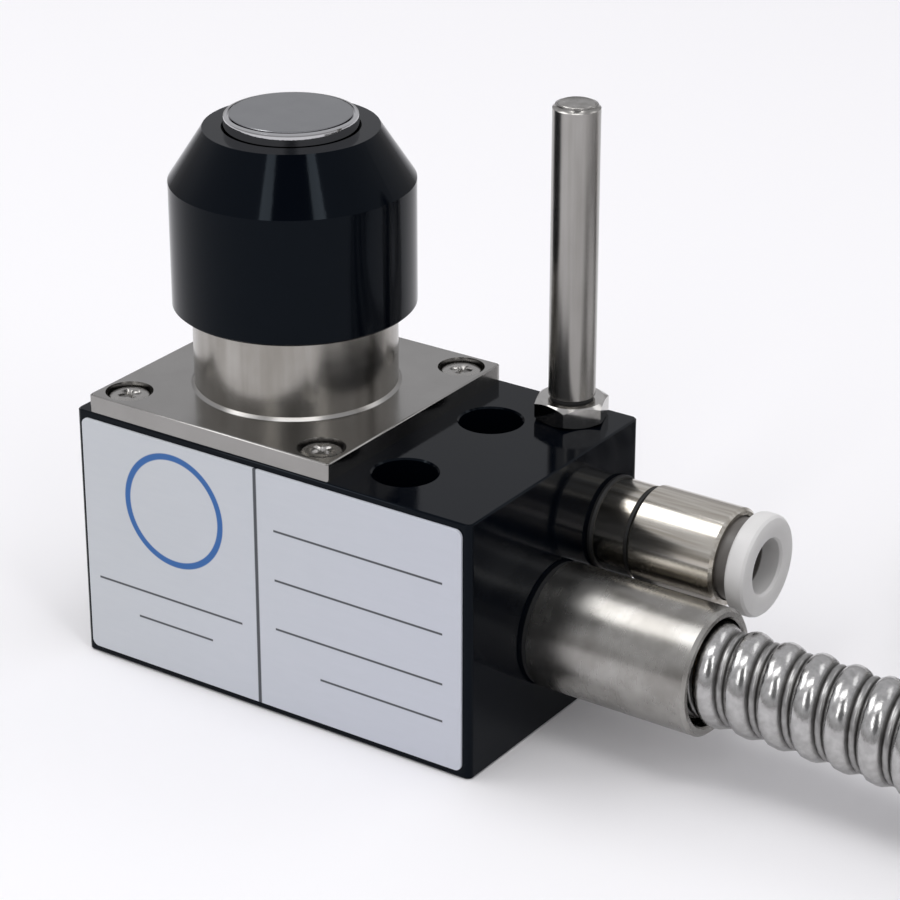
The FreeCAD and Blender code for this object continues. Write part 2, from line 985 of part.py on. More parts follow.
def make_tube_seal():
    """The lip seal that closes round the air tube."""
    start = seal_start()
    end = start + tube_seal_length
    outer = fitting_bore / 2 - fitting_wall_clearance
    inner = collet_bore / 2 - 0.1
    return turned_along_x(
        [
            (inner, start),
            (outer, start),
            (outer, end),
            (outer - 0.4, end),
            (outer - 0.7, end - 1.0),
            (inner + 0.5, end - 1.0),
            (inner, end - 0.2),
        ],
        fitting_y,
        fitting_z,
    )


def make_grip_collet():
    """The slotted steel ring whose edge grips the tube."""
    start = seal_start() + tube_seal_length
    end = start + collet_length
    outer = fitting_bore / 2 - fitting_wall_clearance
    inner = collet_bore / 2
    ring = turned_along_x(
        [(inner + 0.7, start), (outer, start), (outer, end), (outer - 0.5, end), (inner, start + 0.6)],
        fitting_y,
        fitting_z,
    )
    centre = vec(0, fitting_y, fitting_z)
    for i in range(collet_slots):
        slot = slab(
            (start + 0.3, end + 1),
            (fitting_y, fitting_y + outer - 0.6),
            (fitting_z - collet_slot_width / 2, fitting_z + collet_slot_width / 2),
        )
        slot.rotate(centre, X_AXIS, 360 / collet_slots * i)
        ring = ring.cut(slot)
    return ring


def make_release_ring():
    """The white ring that frees the tube when it is pressed in."""
    end = block_right + ring_reach
    flange_back = end - ring_flange_thick
    step = block_right + fitting_length - fitting_mouth_depth + ring_travel + 0.4
    start = seal_start() + tube_seal_length + collet_length + ring_travel + 0.2
    stem = ring_stem / 2
    flange = ring_flange / 2
    bore = ring_bore / 2
    return turned_along_x(
        [
            (bore, start),
            (ring_inner_stem / 2, start),
            (ring_inner_stem / 2, step),
            (stem, step),
            (stem, flange_back - 0.4),
            (flange - 0.3, flange_back + 0.4),
            (flange, flange_back + 0.8),
            (flange, end - ring_edge),
            (flange - ring_edge, end),
            (bore + ring_bore_chamfer, end),
            (bore, end - ring_bore_chamfer),
        ],
        fitting_y,
        fitting_z,
    )


def make_sleeve_seal():
    """The black washer between the sleeve and the block."""
    return turned_along_x(
        [
            (sleeve_spigot / 2 + 0.1, block_right),
            (sleeve_diameter / 2 - 0.2, block_right),
            (sleeve_diameter / 2 - 0.2, sleeve_start),
            (sleeve_spigot / 2 + 0.1, sleeve_start),
        ],
        sleeve_y,
        sleeve_z,
    )


def make_cable_sleeve():
    """The steel sleeve that screws into the block and holds the conduit."""
    spigot_start = block_right - sleeve_spigot_length
    seat = sleeve_end - sleeve_mouth_depth
    outer = sleeve_diameter / 2
    mouth = sleeve_mouth / 2
    return turned_along_x(
        [
            (cable_way / 2, spigot_start),
            (sleeve_spigot / 2, spigot_start),
            (sleeve_spigot / 2, sleeve_start),
            (outer, sleeve_start),
            (outer, sleeve_end - sleeve_edge),
            (outer - sleeve_edge, sleeve_end),
            (mouth + 0.3, sleeve_end),
            (mouth, sleeve_end - 0.3),
            (mouth, seat),
            (cable_way / 2, seat),
        ],
        sleeve_y,
        sleeve_z,
    )


def make_conduit_ferrule():
    """The brass ferrule inside the sleeve against which the conduit ends."""
    seat = sleeve_end - sleeve_mouth_depth
    return turned_along_x(
        [
            (lead_diameter / 2 + lead_clearance, seat),
            (sleeve_mouth / 2 - ferrule_clearance, seat),
            (sleeve_mouth / 2 - ferrule_clearance, conduit_start),
            (lead_diameter / 2 + lead_clearance, conduit_start),
        ],
        sleeve_y,
        sleeve_z,
    )


def route_points():
    points = [vec(conduit_start + run, sleeve_y, sleeve_z) for run in (0, conduit_exit_run)]
    points += [vec(x, sleeve_y, z) for x, z in conduit_route]
    return points


def make_conduit():
    """The conduit's straight runs joined by wide tangent arcs."""
    points = route_points()
    edges = []
    at = points[0]
    for i in range(1, len(points) - 1):
        before = points[i - 1] - points[i]
        after = points[i + 1] - points[i]
        turn = math.pi - before.getAngle(after)
        setback = conduit_slack * min(before.Length, after.Length)
        radius = setback / math.tan(turn / 2)
        print("conduit bend", i, "radius", round(radius, 1))
        before.normalize()
        after.normalize()
        inner = before + after
        inner.normalize()
        start = points[i] + before * setback
        end = points[i] + after * setback
        middle = points[i] + inner * (radius / math.cos(turn / 2) - radius)
        edges.append(Part.LineSegment(at, start).toShape())
        edges.append(Part.Arc(start, middle, end).toShape())
        at = end
    edges.append(Part.LineSegment(at, points[-1]).toShape())
    path = Part.Wire(edges)
    ring = Part.Wire(Part.makeCircle(conduit_radius, points[0], X_AXIS))
    tube = path.makePipeShell([ring], True, False)
    section = math.pi * conduit_radius**2
    print("conduit volume over section times length", round(tube.Volume / (section * path.Length), 4))
    return tube


def coil_points():
    """Where the coil's half turns start and end, on the line through its middle."""
    ys = [sleeve_y]
    for i, radius in enumerate(coil_radii):
        ys.append(ys[-1] + 2 * radius * (-1) ** i)
    return ys


def half_ring(start_y, end_y, side):
    """A half-turn arc between two points on the coil's middle line, bulging to +X or -X."""
    radius = abs(end_y - start_y) / 2
    middle = vec(coil_x + side * radius, (start_y + end_y) / 2, 0)
    return Part.Arc(vec(coil_x, start_y, 0), middle, vec(coil_x, end_y, 0)).toShape()


def make_conduit_coil():
    """The outer shape of the coil: its flat turns and the tail that climbs onto them."""
    ys = coil_points()
    r = conduit_radius
    outline = Part.Wire(
        [
            half_ring(ys[0] - r, ys[1] + r, 1),
            half_ring(ys[1] + r, ys[2] - r, -1),
            Part.LineSegment(vec(coil_x, ys[2] - r, 0), vec(coil_x, ys[0] - r, 0)).toShape(),
        ]
    )
    hole = Part.Wire(
        [
            half_ring(ys[3] - r, ys[4] + r, -1),
            half_ring(ys[4] + r, ys[5] - r, 1),
            Part.LineSegment(vec(coil_x, ys[5] - r, 0), vec(coil_x, ys[3] - r, 0)).toShape(),
        ]
    )
    rise = vec(0, 0, conduit_diameter)
    plate = Part.Face(outline).extrude(rise).cut(Part.Face(hole).extrude(rise))
    plate.translate(vec(0, 0, conduit_lift))

    top = conduit_lift + conduit_diameter
    tail_top = tail_z + r
    centre_y = (ys[4] + ys[5]) / 2
    last = coil_radii[-1]
    ring = post(2 * (last + r), top, tail_top, coil_x, centre_y)
    ring = ring.cut(post(2 * (last - r), top - CUT_PAST, tail_top + CUT_PAST, coil_x, centre_y))
    climb = slab((coil_x, coil_x + last), (centre_y + climb_share * last, ys[5] + r), (top, tail_top))
    tail = slab((tail_end, coil_x), (ys[5] - r, ys[5] + r), (top, tail_top))
    return plate.fuse([ring.common(climb), tail]).removeSplitter()


def turned_from_tail(profile):
    """A solid of revolution on the tail's axis from its (radius, distance past the tail) outline."""
    shape = turned(profile)
    shape.rotate(vec(0, 0, 0), Y_AXIS, -90)
    shape.translate(vec(tail_end, tail_y, tail_z))
    return shape


def rod_past_tail(diameter, start, end, y, z):
    """A plain cylinder between two distances past the tail's end."""
    return rod(diameter, tail_end - end, tail_end - start, y, z)


def make_end_ferrule():
    """The collar that grips the conduit's far end."""
    bore = lead_diameter / 2 + lead_clearance
    outer = end_ferrule_diameter / 2
    waist = outer - end_ferrule_step
    return turned_from_tail(
        [
            (bore, 0),
            (waist, 0),
            (waist, end_ferrule_grip),
            (outer, end_ferrule_grip + end_ferrule_step),
            (outer, end_ferrule_length - end_ferrule_step),
            (waist, end_ferrule_length),
            (bore, end_ferrule_length),
        ]
    )


def make_plug_shell():
    """The connector's shell, open at the end where its mate screws on."""
    start = end_ferrule_length
    end = start + plug_length
    outer = plug_diameter / 2
    thread = outer - plug_thread_step
    socket = outer - plug_wall
    insert_back = end - plug_socket_depth - plug_insert_thick
    relief = start + plug_shoulder_length
    way = lead_diameter / 2 + lead_clearance
    return turned_from_tail(
        [
            (way, start),
            (plug_shoulder / 2, start),
            (plug_shoulder / 2, relief),
            (outer, relief),
            (outer, relief + plug_thread_relief),
            (thread, relief + plug_thread_relief + plug_thread_step),
            (thread, end - plug_thread_step),
            (thread - plug_thread_step, end),
            (socket, end),
            (socket, insert_back),
            (way, insert_back),
        ]
    )


def plug_pin_places():
    places = []
    for i in range(plug_pins_count):
        angle = math.radians(45 + 360 / plug_pins_count * i)
        y = tail_y + plug_pin_circle / 2 * math.cos(angle)
        z = tail_z + plug_pin_circle / 2 * math.sin(angle)
        places.append((y, z))
    return places


def make_plug_insert():
    """The insulating disc that carries the pins."""
    front = end_ferrule_length + plug_length - plug_socket_depth
    back = front - plug_insert_thick
    radius = plug_diameter / 2 - plug_wall - plug_clearance
    disc = rod_past_tail(2 * radius, back, front, tail_y, tail_z)
    hole = plug_pin_diameter + 2 * plug_clearance
    for y, z in plug_pin_places():
        disc = disc.cut(rod_past_tail(hole, back - CUT_PAST, front + CUT_PAST, y, z))
    return disc


def make_plug_pins():
    """The connector's contact pins."""
    front = end_ferrule_length + plug_length - plug_socket_depth
    back = front - plug_insert_thick
    tip = front + plug_pin_length
    pins = [rod_past_tail(plug_pin_diameter, back, tip, y, z) for y, z in plug_pin_places()]
    return Part.makeCompound(pins)


NODES = {
    "housing": make_housing,
    "base_cover": make_base_cover,
    "cover_screws": make_cover_screws,
    "label_plate": make_label_plate,
    "flange_neck": make_flange_neck,
    "flange_seal": make_flange_seal,
    "flange_screws": make_flange_screws,
    "guide_bush": make_guide_bush,
    "return_spring": make_return_spring,
    "plunger_shaft": make_plunger_shaft,
    "stop_ring": make_stop_ring,
    "chip_guard": make_chip_guard,
    "guard_wiper": make_guard_wiper,
    "contact_pad": make_contact_pad,
    "switch_body": make_switch_body,
    "switch_pin": make_switch_pin,
    "switch_nut": make_switch_nut,
    "switch_bracket": make_switch_bracket,
    "bracket_screws": make_bracket_screws,
    "signal_lead": make_signal_lead,
    "air_pipe": make_air_pipe,
    "pipe_nut": make_pipe_nut,
    "fitting_base": make_fitting_base,
    "fitting_oring": make_fitting_oring,
    "fitting_body": make_fitting_body,
    "tube_seal": make_tube_seal,
    "grip_collet": make_grip_collet,
    "release_ring": make_release_ring,
    "sleeve_seal": make_sleeve_seal,
    "cable_sleeve": make_cable_sleeve,
    "conduit_ferrule": make_conduit_ferrule,
    "conduit": make_conduit,
    "conduit_coil": make_conduit_coil,
    "end_ferrule": make_end_ferrule,
    "plug_shell": make_plug_shell,
    "plug_insert": make_plug_insert,
    "plug_pins": make_plug_pins,
}

os.makedirs("parts", exist_ok=True)
for name, make in NODES.items():
    shape = make()
    shape.exportStep("parts/" + name + ".step")
    box = shape.BoundBox
    limits = [box.XMin, box.XMax, box.YMin, box.YMax, box.ZMin, box.ZMax]
    print(name, len(shape.Solids), shape.isValid(), round(shape.Volume, 1), [round(v, 2) for v in limits])
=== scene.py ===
import math
import bmesh
import bpy
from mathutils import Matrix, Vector


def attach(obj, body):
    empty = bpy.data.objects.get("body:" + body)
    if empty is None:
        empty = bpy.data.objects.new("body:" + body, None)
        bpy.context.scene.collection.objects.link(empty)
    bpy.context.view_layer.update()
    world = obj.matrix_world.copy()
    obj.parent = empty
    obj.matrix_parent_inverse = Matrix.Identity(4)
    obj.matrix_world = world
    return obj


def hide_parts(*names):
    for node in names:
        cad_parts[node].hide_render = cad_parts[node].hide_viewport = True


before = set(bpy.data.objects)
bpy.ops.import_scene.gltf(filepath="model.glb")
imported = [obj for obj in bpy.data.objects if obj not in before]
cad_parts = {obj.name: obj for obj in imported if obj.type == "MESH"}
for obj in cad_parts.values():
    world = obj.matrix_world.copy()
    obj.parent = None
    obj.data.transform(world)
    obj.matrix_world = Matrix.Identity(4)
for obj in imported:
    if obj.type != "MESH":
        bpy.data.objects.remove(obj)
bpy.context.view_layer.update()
scene = bpy.context.scene
scene.view_settings.view_transform = "Standard"


# Camera. A long lens a little above the block, turned to show the label's face
# and the side with the air fitting and the conduit.
azimuth = math.radians(34.4309)
elevation = math.radians(24.7572)
distance = 0.4738788
aim = Vector((0, 0, 0.0433))
aim_right = 0.0229659
aim_down = 0.0107138
back = Vector((
    math.sin(azimuth) * math.cos(elevation),
    -math.cos(azimuth) * math.cos(elevation),
    math.sin(elevation),
))
right = Vector((math.cos(azimuth), math.sin(azimuth), 0))
up = back.cross(right)
camera_data = bpy.data.cameras.new("camera")
camera_data.sensor_width = 36
camera_data.lens = 126.391
camera = bpy.data.objects.new("camera", camera_data)
scene.collection.objects.link(camera)
camera.location = back * distance + right * aim_right - up * aim_down + aim
camera.rotation_euler = (math.pi / 2 - elevation, 0, azimuth)
scene.camera = camera


# Armoured conduit. A steel strip is wound into a tube with wide round crests and
# a narrow lower ridge between them. It leaves the sleeve, sinks to the surface
# and is put away as a flat coil of two and a half turns.
class Value:
    """A socket in a node tree. Arithmetic on values adds Math nodes to that tree."""

    def __init__(self, tree, socket):
        self.tree = tree
        self.socket = socket

    def of(self, name):
        """Another output of the same node."""
        return Value(self.tree, pick(self.socket.node.outputs, name))

    def math(self, operation, *others):
        sockets = dict(enumerate((self,) + others))
        return add(self.tree, "ShaderNodeMath", {"operation": operation}, sockets)

    def __add__(self, other):
        return self.math("ADD", other)

    def __sub__(self, other):
        return self.math("SUBTRACT", other)

    def __mul__(self, other):
        return self.math("MULTIPLY", other)

    def __truediv__(self, other):
        return self.math("DIVIDE", other)

    def __rsub__(self, other):
        return (self * -1) + other

    __radd__ = __add__
    __rmul__ = __mul__

    def fall(self, start, end):
        """1 below start, 0 above end, smooth between."""
        settings = {"interpolation_type": "SMOOTHSTEP"}
        sockets = {"Value": self, "From Min": start, "From Max": end, "To Min": 1.0, "To Max": 0.0}
        return add(self.tree, "ShaderNodeMapRange", settings, sockets)

    def rise(self, start, end):
        """0 below start, 1 above end, smooth between."""
        return 1 - self.fall(start, end)


def pick(sockets, key):
    """A socket by its place, its identifier or its name."""
    if isinstance(key, int):
        return sockets[key]
    for socket in sockets:
        if socket.identifier == key:
            return socket
    return next(s for s in sockets if s.name == key and s.enabled)


def add(tree, kind, settings=None, sockets=None, output=0):
    """A new node with its settings made first, then the values or links of its sockets."""
    node = tree.nodes.new(kind)
    for name, value in (settings or {}).items():
        if name == "stops":
            ramp = node.color_ramp
            while len(ramp.elements) < len(value):
                ramp.elements.new(0.5)
            for element, (place, color) in zip(ramp.elements, value):
                element.position = place
                element.color = (*color, 1)
        elif name == "curve":
            points = node.mapping.curves[0].points
            while len(points) < len(value):
                points.new(0.5, 0.5)
            for point, place in zip(points, value):
                point.location = place
                point.handle_type = "VECTOR"
            node.mapping.update()
        else:
            setattr(node, name, value)
    for key, value in (sockets or {}).items():
        socket = pick(node.inputs, key)
        if isinstance(value, Value):
            tree.links.new(value.socket, socket)
        elif hasattr(socket, "default_value"):
            socket.default_value = value
    return Value(tree, pick(node.outputs, output))


class Finish:
    """A procedural material: object coordinates in, a Principled surface out."""

    def __init__(self, name, **constants):
        self.material = bpy.data.materials.new(name)
        self.material.use_nodes = True
        self.tree = self.material.node_tree
        self.surface = next(n for n in self.tree.nodes if n.type == "BSDF_PRINCIPLED")
        for key, value in constants.items():
            self.surface.inputs[key.replace("_", " ")].default_value = value
        self.place = self.add("ShaderNodeTexCoord").of("Object")

    def add(self, kind, settings=None, sockets=None, output=0):
        return add(self.tree, kind, settings, sockets, output)

    def noise(self, scale, stretch=(1, 1, 1), detail=3.0):
        """Noise of so many cells per metre, drawn out along an axis by a small stretch."""
        drawn = self.add("ShaderNodeMapping", {}, {"Vector": self.place, "Scale": stretch})
        sockets = {"Vector": drawn, "Scale": scale, "Detail": detail, "Roughness": 0.55}
        return self.add("ShaderNodeTexNoise", {}, sockets)

    def blend(self, factor, a, b):
        """Colour a where the factor is 0 and b where it is 1."""
        a, b = [c if isinstance(c, Value) else (*c, 1) for c in (a, b)]
        sockets = {"Factor_Float": factor, "A_Color": a, "B_Color": b}
        return self.add("ShaderNodeMix", {"data_type": "RGBA"}, sockets, "Result_Color")

    def set(self, **links):
        for key, value in links.items():
            self.tree.links.new(value.socket, self.surface.inputs[key.replace("_", " ")])

    def bump(self, height, depth):
        sockets = {"Height": height, "Distance": depth, "Strength": 1.0}
        self.set(Normal=self.add("ShaderNodeBump", {}, sockets, "Normal"))


conduit_radius = 0.0075
conduit_y = 0.0003
exit_z = 0.0157
floor_z = 0.0076
tail_x = 0.143
tail_z = 0.0241
coil_x = 0.163
half_turn_radii = [0.0915, 0.084, 0.0765, 0.069, 0.0615]
half_turn_steps = 8
half_step = math.radians(90 / half_turn_steps)
route = [
    (0.0665, conduit_y, exit_z),
    (0.086, conduit_y, exit_z),
    (0.1135, conduit_y, 0.0143),
    (0.141, conduit_y, floor_z),
]
turn_y = conduit_y
for turn, radius in enumerate(half_turn_radii):
    side = (-1) ** turn
    centre_y = turn_y + side * radius
    for step in range(half_turn_steps):
        angle = -math.pi / 2 + (2 * step + 1) * half_step
        reach = radius / math.cos(half_step)
        x = coil_x + side * reach * math.cos(angle)
        y = centre_y + side * reach * math.sin(angle)
        route.append((x, y, floor_z))
    turn_y = centre_y + side * radius
for step, climb_z in ((-3, 0.0095), (-2, 0.0175), (-1, tail_z)):
    route[step] = (route[step][0], route[step][1], climb_z)
route.append((tail_x, turn_y, tail_z))

route_curve = bpy.data.curves.new("conduit_route", "CURVE")
route_curve.dimensions = "3D"
route_curve.resolution_u = 20
route_spline = route_curve.splines.new("NURBS")
route_spline.points.add(len(route) - 1)
for point, place in zip(route_spline.points, route):
    point.co = (*place, 1)
route_spline.order_u = 3
route_spline.use_endpoint_u = True
route_object = bpy.data.objects.new("conduit_route", route_curve)
scene.collection.objects.link(route_object)
route_line = bpy.data.meshes.new_from_object(route_object)
conduit_path = [tuple(v.co) for v in route_line.vertices]
conduit_length = sum(
    (Vector(a) - Vector(b)).length for a, b in zip(conduit_path, conduit_path[1:])
)

conduit_steel = Finish("conduit_steel", Metallic=1.0)
crest = conduit_steel.add("ShaderNodeAttribute", {"attribute_name": "crest"}).of("Fac")
wear = conduit_steel.noise(900, detail=4)
streaks = conduit_steel.noise(2600, stretch=(1, 1, 0.3), detail=2)
# Painted shade: the strip is coloured near black down in its grooves and light steel on its crests,
# as if shade lay in the grooves; roughness follows the same mask.
painted_groove_shade_fade = crest.rise(0.15, 0.75)
painted_groove_shade_color = conduit_steel.blend(wear, (0.03, 0.028, 0.026), (0.07, 0.067, 0.063))
crest_color = conduit_steel.blend(wear.rise(0.3, 0.7), (0.4, 0.395, 0.39), (0.5, 0.495, 0.49))
conduit_steel.set(
    Base_Color=conduit_steel.blend(painted_groove_shade_fade, painted_groove_shade_color, crest_color),
    Roughness=0.43 - painted_groove_shade_fade * 0.3 + streaks * 0.08 + wear * 0.08,
)
conduit_steel.bump(streaks, 0.00002)


def geometry_tree(name, sizes):
    """An empty Geometry Nodes tree with a named input for each size or object."""
    tree = bpy.data.node_groups.new(name, "GeometryNodeTree")
    tree.interface.new_socket("Geometry", in_out="INPUT", socket_type="NodeSocketGeometry")
    tree.interface.new_socket("Geometry", in_out="OUTPUT", socket_type="NodeSocketGeometry")
    for size, value in sizes.items():
        kind = {int: "NodeSocketInt", float: "NodeSocketFloat"}.get(type(value), "NodeSocketObject")
        tree.interface.new_socket(size, in_out="INPUT", socket_type=kind)
    given = add(tree, "NodeGroupInput")
    return tree, {size: given.of(size) for size in sizes}


def grow(name, tree, sizes, material):
    """A plain mesh object from what a Geometry Nodes tree makes of these sizes."""
    blank = bpy.data.objects.new(name, bpy.data.meshes.new(name))
    scene.collection.objects.link(blank)
    modifier = blank.modifiers.new("grow", "NODES")
    modifier.node_group = tree
    for item in tree.interface.items_tree:
        if item.in_out == "INPUT" and item.name in sizes:
            modifier[item.identifier] = sizes[item.name]
    bpy.context.view_layer.update()
    shaped = blank.evaluated_get(bpy.context.evaluated_depsgraph_get())
    mesh = bpy.data.meshes.new_from_object(shaped)
    mesh.name = name
    blank.modifiers.remove(modifier)
    blank.data = mesh
    mesh.materials.clear()
    mesh.materials.append(material)
    return blank


def finish_tree(tree, geometry, material):
    """Ends a Geometry Nodes tree with its geometry made real and dressed."""
    solid = add(tree, "GeometryNodeRealizeInstances", {}, {"Geometry": geometry})
    dressed = add(tree, "GeometryNodeSetMaterial", {}, {"Geometry": solid})
    pick(dressed.socket.node.inputs, "Material").default_value = material
    result = tree.nodes.new("NodeGroupOutput")
    tree.links.new(dressed.socket, result.inputs[0])


conduit_sizes = {
    "Route": route_object,
    "Length": conduit_length,
    "Radius": conduit_radius,
    "Groove": 0.0015,
    "Pitch": 0.0052,
    "Rows": 14,
    "Around": 24,
}
tree, size = geometry_tree("wound_strip", conduit_sizes)
spare_turns = 3
turns = (size["Length"] / size["Pitch"]).math("CEIL") + spare_turns
grid = add(tree, "GeometryNodeMeshGrid", {}, {
    "Vertices X": turns * size["Rows"] + 1,
    "Vertices Y": size["Around"] + 1,
})
index = add(tree, "GeometryNodeInputIndex")
columns = size["Around"] + 1
row = (index / columns).math("FLOOR")
column = index - row * columns
whole = (row / size["Rows"]).math("FLOOR")
phase = row / size["Rows"] - whole
# The strip's outline over one pitch: the low ridge, a groove, the wide crest, a groove.
shares = [0, 0.025, 0.07, 0.13, 0.19, 0.235, 0.26, 0.285, 0.34, 0.44, 0.58, 0.74, 0.87, 0.965, 1]
heights = [0, 0.38, 0.5, 0.53, 0.5, 0.38, 0, 0.42, 0.7, 0.92, 1.0, 0.94, 0.76, 0.42, 0]
spread = [(i / conduit_sizes["Rows"], share) for i, share in enumerate(shares)]
outline = list(zip(shares, heights))
along = add(tree, "ShaderNodeFloatCurve", {"curve": spread}, {"Value": phase})
height = add(tree, "ShaderNodeFloatCurve", {"curve": outline}, {"Value": along})
turn_share = column / size["Around"]
raw = (whole + along + turn_share - 2) * size["Pitch"]
place = raw.math("MAXIMUM", 0.0).math("MINIMUM", size["Length"])
start_cap = (raw / size["Pitch"] + 1).math("MAXIMUM", 0.0).math("MINIMUM", 1.0)
end_cap = ((size["Length"] - raw) / size["Pitch"] + 1).math("MAXIMUM", 0.0).math("MINIMUM", 1.0)
# Painted shadow of the sleeve: the crest mark fades to nothing over the first third of a pitch, so
# the strip's start inside the sleeve's mouth takes the dark groove colour.
fades_per_pitch = 3
painted_sleeve_shadow_fade = (raw / size["Pitch"] * fades_per_pitch).math("MAXIMUM", 0.0).math("MINIMUM", 1.0)
route_info = add(tree, "GeometryNodeObjectInfo", {"transform_space": "ORIGINAL"}, {
    "Object": size["Route"],
})
upright = add(tree, "GeometryNodeSetCurveNormal", {"mode": "Z_UP"}, {
    "Curve": route_info.of("Geometry"),
})
sample = add(tree, "GeometryNodeSampleCurve", {"mode": "LENGTH"}, {
    "Curves": upright, "Length": place,
})
radius = size["Radius"] - size["Groove"] * (1 - height)
radius = radius * start_cap * end_cap
angle = turn_share * (2 * math.pi)


def vector_math(tree, operation, a, b):
    """A vector from two vectors, or from a vector and a number that scales it."""
    key = "Scale" if operation == "SCALE" else 1
    return add(tree, "ShaderNodeVectorMath", {"operation": operation}, {0: a, key: b})


normal = sample.of("Normal")
side = vector_math(tree, "CROSS_PRODUCT", sample.of("Tangent"), normal)
across = vector_math(tree, "SCALE", normal, angle.math("COSINE") * radius)
sideways = vector_math(tree, "SCALE", side, angle.math("SINE") * radius)
shell = vector_math(tree, "ADD", sample.of("Position"), vector_math(tree, "ADD", across, sideways))
placed = add(tree, "GeometryNodeSetPosition", {}, {"Geometry": grid, "Position": shell})
# The crest mark carries the strip's height, times the painted shadow of the sleeve at its start and
# the fade at its far end.
marked = add(tree, "GeometryNodeStoreNamedAttribute", {"data_type": "FLOAT", "domain": "POINT"}, {
    "Geometry": placed, "Name": "crest", "Value": height * painted_sleeve_shadow_fade * end_cap,
})
merged = add(tree, "GeometryNodeMergeByDistance", {}, {"Geometry": marked, "Distance": 0.00001})
smooth = add(tree, "GeometryNodeSetShadeSmooth", {}, {"Geometry": merged})
finish_tree(tree, smooth, conduit_steel.material)
conduit = grow("wound_conduit", tree, conduit_sizes, conduit_steel.material)
bpy.data.objects.remove(route_object)
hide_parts("conduit", "conduit_coil")
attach(conduit, "base")


# Surface and lamps. A plain pale surface under soft boxes, with a dimmer horizon
# than ceiling, so that polished metal shows light and dark. A dark panel fills the
# sky between the two strips and shows as a black field on the guard's cone.
floor_mesh = bpy.data.meshes.new("floor")
floor_half = 4.0
floor_z_below = -0.00005
floor_signs = ((-1, -1), (1, -1), (1, 1), (-1, 1))
floor_mesh.from_pydata(
    [(x * floor_half, y * floor_half, floor_z_below) for x, y in floor_signs],
    [],
    [(0, 1, 2, 3)],
)
floor = bpy.data.objects.new("floor", floor_mesh)
scene.collection.objects.link(floor)
floor_paint = Finish("floor_paint", Roughness=0.9, Specular_IOR_Level=0.0)
floor_paint.surface.inputs["Base Color"].default_value = (0.93, 0.92, 0.935, 1)
floor_mesh.materials.append(floor_paint.material)

world = bpy.data.worlds.new("studio")
scene.world = world
world.use_nodes = True
air = world.node_tree
sky = next(n for n in air.nodes if n.type == "BACKGROUND")
direction = add(air, "ShaderNodeTexCoord").of("Generated")
level = add(air, "ShaderNodeSeparateXYZ", {}, {"Vector": direction}).of("Z")
shade = add(air, "ShaderNodeValToRGB", {"stops": [
    (0.0, (0.4, 0.395, 0.4)),
    (0.14, (0.42, 0.415, 0.42)),
    (0.3, (0.64, 0.64, 0.66)),
    (1.0, (0.64, 0.64, 0.66)),
]}, {"Fac": level})
air.links.new(shade.socket, sky.inputs["Color"])
panel_centre = (0.441, -0.612, 0.656)
sockets = {0: direction, 1: panel_centre}
nearness = add(air, "ShaderNodeVectorMath", {"operation": "DOT_PRODUCT"}, sockets, "Value")
on_panel = nearness.rise(0.905, 0.935)
sky_strength = 1.045
panel_loss = 0.8
air.links.new((sky_strength - on_panel * panel_loss).socket, sky.inputs["Strength"])


lamp_target = Vector((0.01, 0, 0.03))


def soft_box(name, azimuth, elevation, distance, width, height, watts):
    """A soft box that faces the block from so many degrees round it and above the surface."""
    lamp = bpy.data.lights.new(name, "AREA")
    lamp.shape = "RECTANGLE"
    lamp.size = width
    lamp.size_y = height
    lamp.energy = watts
    box = bpy.data.objects.new(name, lamp)
    scene.collection.objects.link(box)
    a, e = math.radians(azimuth), math.radians(elevation)
    away = Vector((math.sin(a) * math.cos(e), -math.cos(a) * math.cos(e), math.sin(e)))
    box.location = away * distance + lamp_target
    box.rotation_euler = away.to_track_quat("Z", "Y").to_euler()


# Name, azimuth, elevation, distance, width, height, watts.
soft_box("key_box", -75, 58, 1.3, 0.8, 0.5, 4.2)
soft_box("left_strip", 7, 41, 1.3, 0.2, 0.6, 1.5)
soft_box("right_strip", 65, 41, 1.3, 0.2, 0.6, 1.5)
soft_box("top_box", 34, 76, 1.3, 0.7, 0.3, 2.4)
soft_box("rear_box", 150, 45, 1.4, 0.7, 0.4, 1.0)


# What the pieces below share: smooth shading, moved points and bodies.
crease = math.radians(25)


def finished(built, name):
    """An object from a bmesh, smooth across angles below the crease and sharp above."""
    for face in built.faces:
        face.smooth = True
    for edge in built.edges:
        edge.smooth = edge.calc_face_angle(math.pi) < crease
    mesh = bpy.data.meshes.new(name)
    built.to_mesh(mesh)
    built.free()
    piece = bpy.data.objects.new(name, mesh)
    scene.collection.objects.link(piece)
    return piece


def reshaped(node, name, move):
    """A merged copy of a node's mesh, its points moved by a rule in millimetres."""
    built = bmesh.new()
    built.from_mesh(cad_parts[node].data)
    bmesh.ops.remove_doubles(built, verts=built.verts, dist=0.000001)
    for vert in built.verts:
        vert.co = Vector(move(*(vert.co * 1000))) / 1000
    return finished(built, name)


def fit(piece, finish, slot, body, *nodes):
    """Dresses a new piece, hangs it on its body and lets it stand for its nodes."""
    piece.data.materials.clear()
    piece.data.materials.append(finish.material)
    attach(piece, body)
    if nodes:
        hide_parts(*nodes)


def coat(finish, *nodes):
    """Gives nodes of the frame their finish."""
    for node in nodes:
        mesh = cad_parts[node].data
        mesh.materials.clear()
        mesh.materials.append(finish.material)


